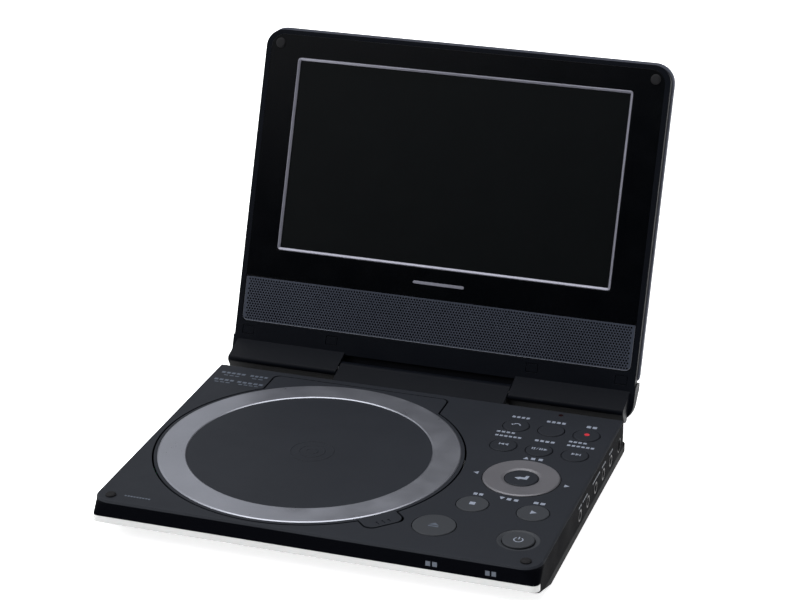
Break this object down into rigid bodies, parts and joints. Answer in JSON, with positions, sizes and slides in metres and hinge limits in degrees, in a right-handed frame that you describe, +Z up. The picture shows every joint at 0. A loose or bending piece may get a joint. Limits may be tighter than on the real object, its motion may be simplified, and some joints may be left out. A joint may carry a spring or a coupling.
{
  "type": "portable dvd player",
  "caption": "Portable disc player: a flat base with a round disc door, control keys and side sockets, and a hinged lid with a wide screen above a speaker grille.",
  "frame": {"origin": "under the middle of the open player, on the surface that its feet rest on", "axes": "+Z up, +Y from the front edge towards the hinge, +X to the right"},
  "size_m": [0.19, 0.2151, 0.1573],
  "materials": {
    "case_plastic": "fine satin texture, charcoal",
    "under_plastic": "fine matt texture, near black",
    "shell_plastic": "satin, dark grey",
    "pale_strip": "semi-gloss, off white",
    "ring_silver": "silver paint, satin",
    "rocker_silver": "dark silver paint, satin",
    "key_grey": "satin, mid grey",
    "panel_black": "high gloss, black",
    "bezel_silver": "silver paint",
    "screen_glass": "anti-glare, dark",
    "grille_metal": "perforated sheet, satin black",
    "rubber_black": "matt",
    "steel": "plain",
    "zinc": "dull zinc",
    "screw_black": "black oxide",
    "board_green": "solder mask",
    "jack_black": "moulded",
    "cell_wrap": "shrink wrap",
    "lens": "coated",
    "window_red": "dark red, clear",
    "cone_black": "paper"
  },
  "bodies": {
    "base": {"top_cabinet": "case_plastic", "cabinet_walls": "case_plastic", "jack_panel": "case_plastic", "bottom_case": "under_plastic", "front_strip": "pale_strip", "disc_well": "under_plastic", "hinge_block": "case_plastic", "battery_hatch": "under_plastic", "battery_pack": "cell_wrap", "main_board": "board_green", "jack_board": "board_green", "key_board": "board_green", "key_domes": "steel", "power_ring": "key_grey", "phone_jack_1": "jack_black", "phone_jack_2": "jack_black", "av_jack_1": "jack_black", "av_jack_2": "jack_black", "av_jack_3": "jack_black", "dc_jack": "jack_black", "drive_deck": "zinc", "deck_dampers": "rubber_black", "drive_motors": "zinc", "guide_rods": "steel", "remote_window": "window_red", "hinge_brackets": "steel", "door_pins": "steel", "base_bumpers": "rubber_black", "rubber_feet": "rubber_black", "case_screws": "screw_black"},
    "lid": {"lid_front_frame": "case_plastic", "lid_back_shell": "shell_plastic", "glossy_panel": "panel_black", "screen_bezel": "bezel_silver", "lcd_panel": "screen_glass", "lcd_board": "board_green", "speaker_grille": "grille_metal", "speakers": "cone_black", "hinge_clips": "steel", "lid_bumpers": "rubber_black", "screw_plugs": "case_plastic"},
    "disc_door": {"disc_door": "case_plastic", "door_ring": "ring_silver"},
    "door_latch": {"door_latch": "zinc"},
    "turntable": {"turntable": "jack_black"},
    "pickup": {"pickup_sled": "zinc", "pickup_lens": "lens"},
    "lead_screw": {"lead_screw": "steel"},
    "rocker": {"rocker_ring": "rocker_silver"},
    "open_key": {"open_key": "key_grey"},
    "mode_key": {"mode_key": "case_plastic"},
    "title_key": {"title_key": "case_plastic"},
    "standby_key": {"standby_key": "case_plastic"},
    "subtitle_key": {"subtitle_key": "case_plastic"},
    "menu_key": {"menu_key": "case_plastic"},
    "return_key": {"return_key": "case_plastic"},
    "enter_key": {"enter_key": "case_plastic"},
    "stop_key": {"stop_key": "key_grey"},
    "play_key": {"play_key": "key_grey"},
    "power_key": {"power_key": "key_grey"}
  },
  "joints": [
    {"name": "lid_hinge", "type": "hinge", "parent": "base", "child": "lid", "pos_m": [0, 0.04272, 0.0172], "axis": [-1, 0, 0], "range_deg": [-111, 39]},
    {"name": "door_hinge", "type": "hinge", "parent": "base", "child": "disc_door", "pos_m": [-0.0248, 0.02562, 0.0168], "axis": [-1, 0, 0], "range_deg": [0, 70]},
    {"name": "open_press", "type": "slide", "parent": "base", "child": "open_key", "axis": [0, 0, -1], "range_m": [0, 0.0012], "stiffness_N_per_m": 400},
    {"name": "latch_slide", "type": "slide", "parent": "base", "child": "door_latch", "axis": [0.7071, -0.7071, 0], "range_m": [0, 0.0012]},
    {"name": "turntable_spin", "type": "hinge", "parent": "base", "child": "turntable", "pos_m": [-0.0248, -0.03928, 0.0136], "axis": [0, 0, 1], "continuous": true},
    {"name": "pickup_slide", "type": "slide", "parent": "base", "child": "pickup", "axis": [1, 0, 0], "range_m": [0, 0.034]},
    {"name": "lead_screw_spin", "type": "hinge", "parent": "base", "child": "lead_screw", "pos_m": [-0.0248, -0.06078, 0.007], "axis": [1, 0, 0], "continuous": true},
    {"name": "rocker_tilt", "type": "hinge", "parent": "base", "child": "rocker", "pos_m": [0.06685, -0.03578, 0.017], "axis": [1, 0, 0], "range_deg": [-1.5, 1.5], "stiffness_Nm_per_rad": 0.3},
    {"name": "mode_key_press", "type": "slide", "parent": "base", "child": "mode_key", "axis": [0, 0, -1], "range_m": [0, 0.0004], "stiffness_N_per_m": 500},
    {"name": "title_key_press", "type": "slide", "parent": "base", "child": "title_key", "axis": [0, 0, -1], "range_m": [0, 0.0004], "stiffness_N_per_m": 500},
    {"name": "standby_key_press", "type": "slide", "parent": "base", "child": "standby_key", "axis": [0, 0, -1], "range_m": [0, 0.0004], "stiffness_N_per_m": 500},
    {"name": "subtitle_key_press", "type": "slide", "parent": "base", "child": "subtitle_key", "axis": [0, 0, -1], "range_m": [0, 0.0004], "stiffness_N_per_m": 500},
    {"name": "menu_key_press", "type": "slide", "parent": "base", "child": "menu_key", "axis": [0, 0, -1], "range_m": [0, 0.0004], "stiffness_N_per_m": 500},
    {"name": "return_key_press", "type": "slide", "parent": "base", "child": "return_key", "axis": [0, 0, -1], "range_m": [0, 0.0004], "stiffness_N_per_m": 500},
    {"name": "enter_key_press", "type": "slide", "parent": "base", "child": "enter_key", "axis": [0, 0, -1], "range_m": [0, 0.0004], "stiffness_N_per_m": 500},
    {"name": "stop_key_press", "type": "slide", "parent": "base", "child": "stop_key", "axis": [0, 0, -1], "range_m": [0, 0.0004], "stiffness_N_per_m": 500},
    {"name": "play_key_press", "type": "slide", "parent": "base", "child": "play_key", "axis": [0, 0, -1], "range_m": [0, 0.0004], "stiffness_N_per_m": 500},
    {"name": "power_key_press", "type": "slide", "parent": "base", "child": "power_key", "axis": [0, 0, -1], "range_m": [0, 0.0004], "stiffness_N_per_m": 500}
  ],
  "couplings": [
    {"joint": "latch_slide", "follows": "open_press", "ratio": 1},
    {"joint": "lead_screw_spin", "follows": "pickup_slide", "rad_per_m": 2094.4}
  ]
}
